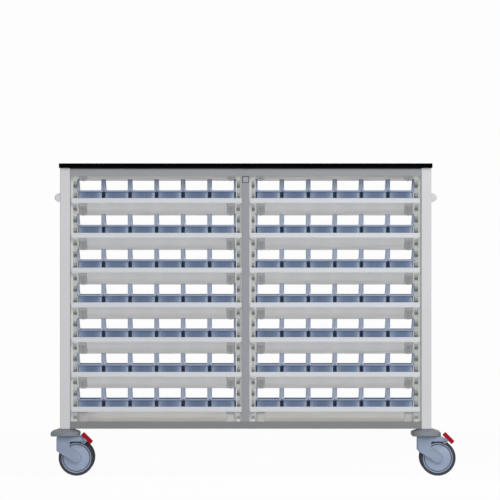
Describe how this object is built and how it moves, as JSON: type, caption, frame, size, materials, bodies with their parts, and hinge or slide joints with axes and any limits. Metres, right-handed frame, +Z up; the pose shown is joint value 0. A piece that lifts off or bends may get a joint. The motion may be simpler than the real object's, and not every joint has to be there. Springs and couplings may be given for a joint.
{
  "type": "medical bin cart",
  "caption": "Wide two-bay storage cart on swivel casters: black worktop over rows of slide-out sloping trays, each with low-front blue picking bins.",
  "frame": {"origin": "on the floor, under the middle of the whole cart's box with its casters trailing to +X", "axes": "+X to the right seen from the front, +Y from the front to the back, +Z up"},
  "size_m": [1.4194, 0.5176, 1.0935],
  "materials": {
    "black_laminate": "satin",
    "pale_painted_metal": "satin",
    "grey_painted_metal": "satin",
    "pale_moulded_plastic": "satin",
    "tray_plastic": "satin",
    "blue_bin_plastic": "satin",
    "grey_bumper_plastic": "matte",
    "caster_grey_plastic": "satin",
    "tyre_rubber": "matte",
    "red_pedal_plastic": "satin"
  },
  "bodies": {
    "frame": {"worktop": "black_laminate", "end_frame_left": "pale_painted_metal", "end_frame_right": "pale_painted_metal", "front_frame": "grey_painted_metal", "rear_frame": "grey_painted_metal", "top_cover_left": "tray_plastic", "top_cover_right": "tray_plastic", "runner_panel_left_outer": "pale_moulded_plastic", "runner_panel_left_inner": "pale_moulded_plastic", "runner_panel_right_inner": "pale_moulded_plastic", "runner_panel_right_outer": "pale_moulded_plastic", "push_handle_left": "pale_moulded_plastic", "push_handle_right": "pale_moulded_plastic", "caster_bumper_front_left": "grey_bumper_plastic", "caster_bumper_front_right": "grey_bumper_plastic", "caster_bumper_rear_left": "grey_bumper_plastic", "caster_bumper_rear_right": "grey_bumper_plastic"},
    "shelf_left_1": {"tray_left_1": "tray_plastic", "bin_row_left_1": "blue_bin_plastic"},
    "shelf_left_2": {"tray_left_2": "tray_plastic", "bin_row_left_2": "blue_bin_plastic"},
    "shelf_left_3": {"tray_left_3": "tray_plastic", "bin_row_left_3": "blue_bin_plastic"},
    "shelf_left_4": {"tray_left_4": "tray_plastic", "bin_row_left_4": "blue_bin_plastic"},
    "shelf_left_5": {"tray_left_5": "tray_plastic", "bin_row_left_5": "blue_bin_plastic"},
    "shelf_left_6": {"tray_left_6": "tray_plastic", "bin_row_left_6": "blue_bin_plastic"},
    "shelf_left_7": {"tray_left_7": "tray_plastic", "bin_row_left_7": "blue_bin_plastic"},
    "shelf_right_1": {"tray_right_1": "tray_plastic", "bin_row_right_1": "blue_bin_plastic"},
    "shelf_right_2": {"tray_right_2": "tray_plastic", "bin_row_right_2": "blue_bin_plastic"},
    "shelf_right_3": {"tray_right_3": "tray_plastic", "bin_row_right_3": "blue_bin_plastic"},
    "shelf_right_4": {"tray_right_4": "tray_plastic", "bin_row_right_4": "blue_bin_plastic"},
    "shelf_right_5": {"tray_right_5": "tray_plastic", "bin_row_right_5": "blue_bin_plastic"},
    "shelf_right_6": {"tray_right_6": "tray_plastic", "bin_row_right_6": "blue_bin_plastic"},
    "shelf_right_7": {"tray_right_7": "tray_plastic", "bin_row_right_7": "blue_bin_plastic"},
    "caster_front_left": {"caster_fork_front_left": "caster_grey_plastic"},
    "wheel_front_left": {"wheel_hub_front_left": "caster_grey_plastic", "tyre_front_left": "tyre_rubber"},
    "pedal_front_left": {"brake_pedal_front_left": "red_pedal_plastic"},
    "caster_front_right": {"caster_fork_front_right": "caster_grey_plastic"},
    "wheel_front_right": {"wheel_hub_front_right": "caster_grey_plastic", "tyre_front_right": "tyre_rubber"},
    "pedal_front_right": {"brake_pedal_front_right": "red_pedal_plastic"},
    "caster_rear_left": {"caster_fork_rear_left": "caster_grey_plastic"},
    "wheel_rear_left": {"wheel_hub_rear_left": "caster_grey_plastic", "tyre_rear_left": "tyre_rubber"},
    "caster_rear_right": {"caster_fork_rear_right": "caster_grey_plastic"},
    "wheel_rear_right": {"wheel_hub_rear_right": "caster_grey_plastic", "tyre_rear_right": "tyre_rubber"}
  },
  "joints": [
    {"name": "shelf_left_1_slide", "type": "slide", "parent": "frame", "child": "shelf_left_1", "axis": [0, -0.994, 0.1097], "range_m": [0, 0.28]},
    {"name": "shelf_left_2_slide", "type": "slide", "parent": "frame", "child": "shelf_left_2", "axis": [0, -0.994, 0.1097], "range_m": [0, 0.28]},
    {"name": "shelf_left_3_slide", "type": "slide", "parent": "frame", "child": "shelf_left_3", "axis": [0, -0.994, 0.1097], "range_m": [0, 0.28]},
    {"name": "shelf_left_4_slide", "type": "slide", "parent": "frame", "child": "shelf_left_4", "axis": [0, -0.994, 0.1097], "range_m": [0, 0.28]},
    {"name": "shelf_left_5_slide", "type": "slide", "parent": "frame", "child": "shelf_left_5", "axis": [0, -0.994, 0.1097], "range_m": [0, 0.28]},
    {"name": "shelf_left_6_slide", "type": "slide", "parent": "frame", "child": "shelf_left_6", "axis": [0, -0.994, 0.1097], "range_m": [0, 0.28]},
    {"name": "shelf_left_7_slide", "type": "slide", "parent": "frame", "child": "shelf_left_7", "axis": [0, -0.994, 0.1097], "range_m": [0, 0.28]},
    {"name": "shelf_right_1_slide", "type": "slide", "parent": "frame", "child": "shelf_right_1", "axis": [0, -0.994, 0.1097], "range_m": [0, 0.28]},
    {"name": "shelf_right_2_slide", "type": "slide", "parent": "frame", "child": "shelf_right_2", "axis": [0, -0.994, 0.1097], "range_m": [0, 0.28]},
    {"name": "shelf_right_3_slide", "type": "slide", "parent": "frame", "child": "shelf_right_3", "axis": [0, -0.994, 0.1097], "range_m": [0, 0.28]},
    {"name": "shelf_right_4_slide", "type": "slide", "parent": "frame", "child": "shelf_right_4", "axis": [0, -0.994, 0.1097], "range_m": [0, 0.28]},
    {"name": "shelf_right_5_slide", "type": "slide", "parent": "frame", "child": "shelf_right_5", "axis": [0, -0.994, 0.1097], "range_m": [0, 0.28]},
    {"name": "shelf_right_6_slide", "type": "slide", "parent": "frame", "child": "shelf_right_6", "axis": [0, -0.994, 0.1097], "range_m": [0, 0.28]},
    {"name": "shelf_right_7_slide", "type": "slide", "parent": "frame", "child": "shelf_right_7", "axis": [0, -0.994, 0.1097], "range_m": [0, 0.28]},
    {"name": "swivel_front_left", "type": "hinge", "parent": "frame", "child": "caster_front_left", "pos_m": [-0.65873, -0.20777, 0.137], "axis": [0, 0, 1], "continuous": true},
    {"name": "roll_front_left", "type": "hinge", "parent": "caster_front_left", "child": "wheel_front_left", "pos_m": [-0.61873, -0.20777, 0.0625], "axis": [0, 1, 0], "continuous": true},
    {"name": "brake_front_left", "type": "hinge", "parent": "caster_front_left", "child": "pedal_front_left", "pos_m": [-0.59369, -0.20777, 0.11976], "axis": [0, 1, 0], "range_deg": [0, 10]},
    {"name": "swivel_front_right", "type": "hinge", "parent": "frame", "child": "caster_front_right", "pos_m": [0.60627, -0.20777, 0.137], "axis": [0, 0, 1], "continuous": true},
    {"name": "roll_front_right", "type": "hinge", "parent": "caster_front_right", "child": "wheel_front_right", "pos_m": [0.64627, -0.20777, 0.0625], "axis": [0, 1, 0], "continuous": true},
    {"name": "brake_front_right", "type": "hinge", "parent": "caster_front_right", "child": "pedal_front_right", "pos_m": [0.67131, -0.20777, 0.11976], "axis": [0, 1, 0], "range_deg": [0, 10]},
    {"name": "swivel_rear_left", "type": "hinge", "parent": "frame", "child": "caster_rear_left", "pos_m": [-0.65873, 0.20777, 0.137], "axis": [0, 0, 1], "continuous": true},
    {"name": "roll_rear_left", "type": "hinge", "parent": "caster_rear_left", "child": "wheel_rear_left", "pos_m": [-0.61873, 0.20777, 0.0625], "axis": [0, 1, 0], "continuous": true},
    {"name": "swivel_rear_right", "type": "hinge", "parent": "frame", "child": "caster_rear_right", "pos_m": [0.60627, 0.20777, 0.137], "axis": [0, 0, 1], "continuous": true},
    {"name": "roll_rear_right", "type": "hinge", "parent": "caster_rear_right", "child": "wheel_rear_right", "pos_m": [0.64627, 0.20777, 0.0625], "axis": [0, 1, 0], "continuous": true}
  ]
}
